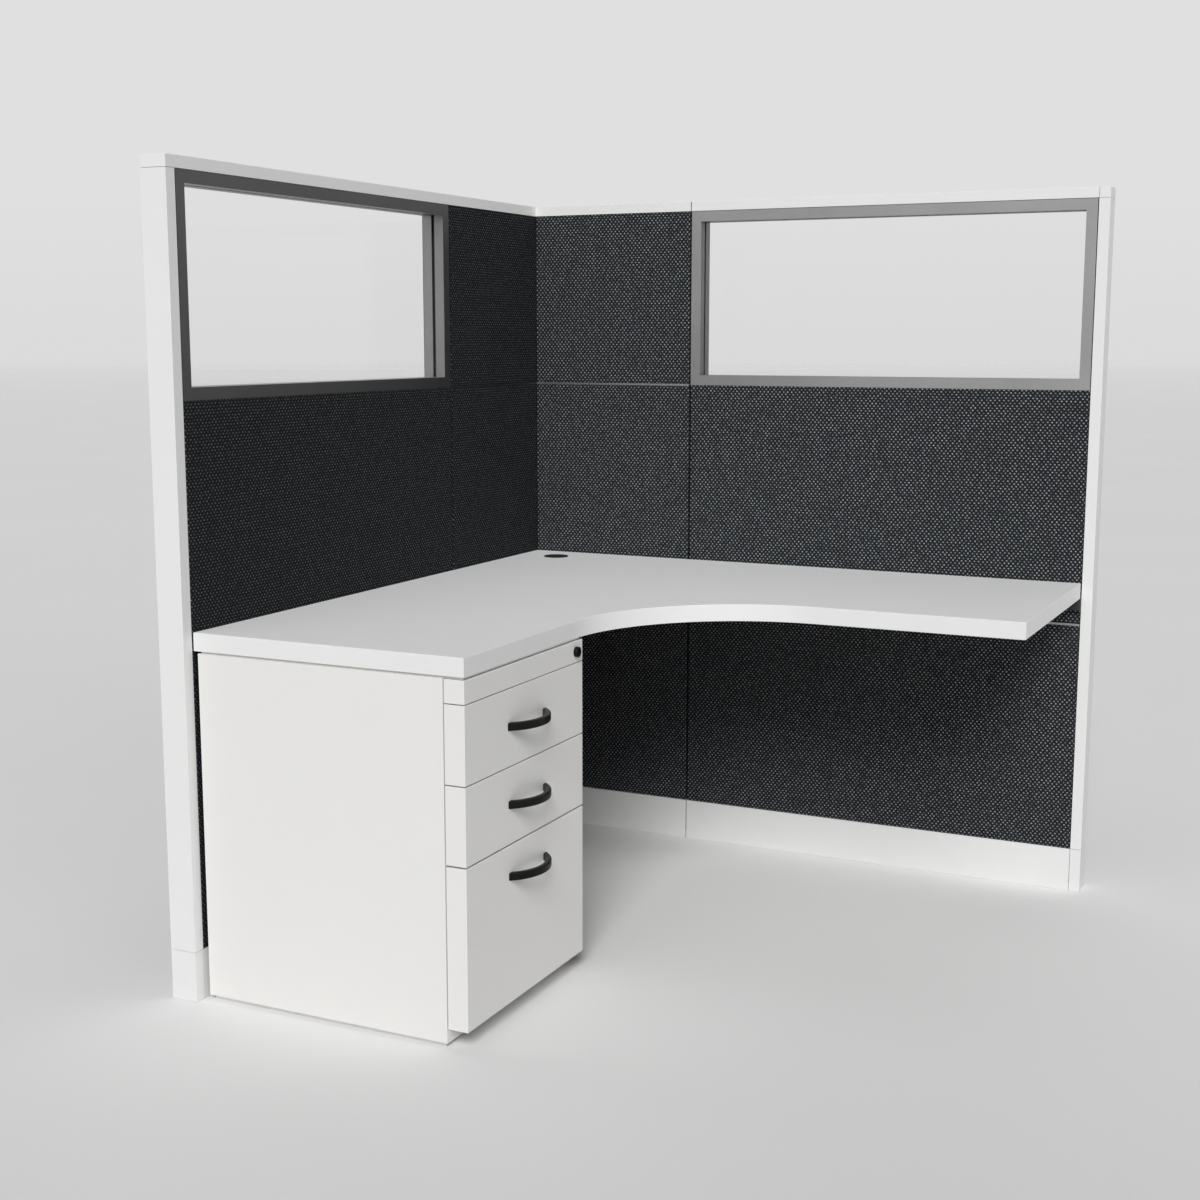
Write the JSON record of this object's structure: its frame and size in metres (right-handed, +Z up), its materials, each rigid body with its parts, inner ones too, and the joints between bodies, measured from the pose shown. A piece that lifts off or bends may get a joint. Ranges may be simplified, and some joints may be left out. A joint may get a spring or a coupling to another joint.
{
  "type": "cubicle workstation",
  "caption": "L-shaped cubicle workstation: fabric-tiled panel walls with glazed upper tiles, a coved corner worksurface and a lockable drawer pedestal.",
  "frame": {"origin": "centre of the square footprint, on the floor", "axes": "+Z up, +X along the back wall away from the corner, +Y towards the back wall; the user sits at +X, -Y"},
  "size_m": [1.524, 1.524, 1.651],
  "materials": {
    "charcoal_fabric": "woven charcoal cloth with light grey dots",
    "warm_white_paint": "satin powder coat",
    "white_laminate": "smooth matt laminate",
    "white_edge": "satin edge band",
    "board_core": "particle board",
    "white_board": "white faced board",
    "grey_aluminium": "satin anodised",
    "clear_glass": "clear float glass",
    "black_rubber": "extruded gasket",
    "black_plastic": "smooth moulded plastic",
    "black_metal": "gloss black finish",
    "zinc_steel": "zinc plated sheet and bar",
    "dark_paint": "dark powder coat on tube",
    "bracket_paint": "black powder coat"
  },
  "bodies": {
    "structure": {"back_corner_panel_frame": "dark_paint", "back_corner_tiles": "charcoal_fabric", "back_end_trim": "warm_white_paint", "back_main_panel_frame": "dark_paint", "back_main_tiles": "charcoal_fabric", "back_outer_tiles": "charcoal_fabric", "back_window_frame": "grey_aluminium", "cabinet_slides": "zinc_steel", "corner_post": "dark_paint", "corner_post_cover": "warm_white_paint", "end_trim_bases": "warm_white_paint", "grommet_sleeve": "black_plastic", "inner_base_covers": "warm_white_paint", "left_corner_panel_frame": "dark_paint", "left_corner_tiles": "charcoal_fabric", "left_end_trim": "warm_white_paint", "left_main_panel_frame": "dark_paint", "left_main_tiles": "charcoal_fabric", "left_outer_tiles": "charcoal_fabric", "left_window_frame": "grey_aluminium", "levelling_glides": "black_plastic", "lock_barrel": "black_metal", "lock_rail": "white_board", "outer_base_covers": "warm_white_paint", "panel_tie_bolts": "zinc_steel", "panel_top_caps": "warm_white_paint", "pedestal_back": "white_board", "pedestal_base": "white_board", "pedestal_far_side": "white_board", "pedestal_near_side": "white_board", "pedestal_top": "white_board", "tile_clips": "zinc_steel", "tile_joint_strips": "grey_aluminium", "trim_caps": "warm_white_paint", "window_gaskets": "black_rubber", "window_glass": "clear_glass", "worksurface_brackets": "bracket_paint", "worksurface_core": "board_core", "worksurface_edge_band": "white_edge", "worksurface_laminate": "white_laminate", "worksurface_screws": "zinc_steel", "worksurface_spacers": "white_board"},
    "top_drawer": {"top_drawer_front": "white_board", "top_drawer_box": "white_board", "top_drawer_handle": "black_plastic", "top_drawer_runners": "zinc_steel"},
    "top_drawer_slides": {"top_drawer_middle_slides": "zinc_steel"},
    "middle_drawer": {"middle_drawer_front": "white_board", "middle_drawer_box": "white_board", "middle_drawer_handle": "black_plastic", "middle_drawer_runners": "zinc_steel"},
    "middle_drawer_slides": {"middle_drawer_middle_slides": "zinc_steel"},
    "file_drawer": {"file_drawer_front": "white_board", "file_drawer_box": "white_board", "file_drawer_handle": "black_plastic", "file_drawer_runners": "zinc_steel"},
    "file_drawer_slides": {"file_drawer_middle_slides": "zinc_steel"},
    "lock_core": {"lock_core": "black_metal"},
    "lock_bar": {"lock_bar": "zinc_steel"},
    "grommet_cap": {"grommet_cap": "black_plastic"}
  },
  "joints": [
    {"name": "top_drawer_slide", "type": "slide", "parent": "structure", "child": "top_drawer", "axis": [1, 0, 0], "range_m": [0, 0.45]},
    {"name": "top_drawer_middle_slide", "type": "slide", "parent": "structure", "child": "top_drawer_slides", "axis": [1, 0, 0], "range_m": [0, 0.225]},
    {"name": "middle_drawer_slide", "type": "slide", "parent": "structure", "child": "middle_drawer", "axis": [1, 0, 0], "range_m": [0, 0.45]},
    {"name": "middle_drawer_middle_slide", "type": "slide", "parent": "structure", "child": "middle_drawer_slides", "axis": [1, 0, 0], "range_m": [0, 0.225]},
    {"name": "file_drawer_slide", "type": "slide", "parent": "structure", "child": "file_drawer", "axis": [1, 0, 0], "range_m": [0, 0.45]},
    {"name": "file_drawer_middle_slide", "type": "slide", "parent": "structure", "child": "file_drawer_slides", "axis": [1, 0, 0], "range_m": [0, 0.225]},
    {"name": "lock_turn", "type": "hinge", "parent": "structure", "child": "lock_core", "pos_m": [-0.0934, -0.284, 0.68225], "axis": [1, 0, 0], "range_deg": [0, 90]},
    {"name": "lock_bar_slide", "type": "slide", "parent": "structure", "child": "lock_bar", "axis": [0, 0, -1], "range_m": [0, 0.0099]},
    {"name": "grommet_cap_lift", "type": "slide", "parent": "structure", "child": "grommet_cap", "axis": [0, 0, 1], "range_m": [0, 0.04]}
  ],
  "couplings": [
    {"joint": "top_drawer_middle_slide", "follows": "top_drawer_slide", "ratio": 0.5},
    {"joint": "middle_drawer_middle_slide", "follows": "middle_drawer_slide", "ratio": 0.5},
    {"joint": "file_drawer_middle_slide", "follows": "file_drawer_slide", "ratio": 0.5},
    {"joint": "lock_turn", "follows": "lock_bar_slide", "rad_per_m": 158.67}
  ]
}
